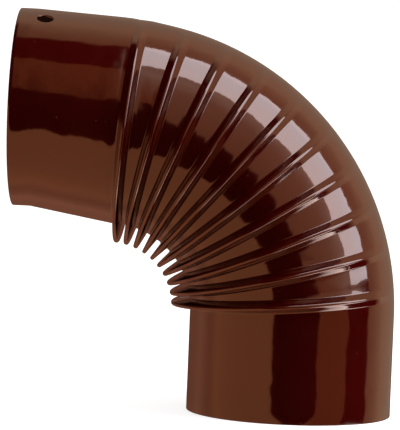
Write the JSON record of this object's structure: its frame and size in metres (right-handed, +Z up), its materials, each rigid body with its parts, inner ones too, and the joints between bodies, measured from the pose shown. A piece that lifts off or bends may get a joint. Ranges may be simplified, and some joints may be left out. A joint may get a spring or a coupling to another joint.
{
  "type": "stovepipe elbow",
  "caption": "Right-angle stovepipe elbow, pleated from one enamelled steel tube, with a plain socket, a drawn-in spigot and a hanging hole.",
  "frame": {"origin": "middle of the lower rim, on the socket's axis", "axes": "+Z up along the socket's axis, the spigot points along -X, the heel of the bend faces +X and +Z"},
  "size_m": [0.2265, 0.1348, 0.231],
  "materials": {
    "enamel": "high gloss"
  },
  "bodies": {
    "root": {"pleated_elbow": "enamel"}
  },
  "joints": []
}
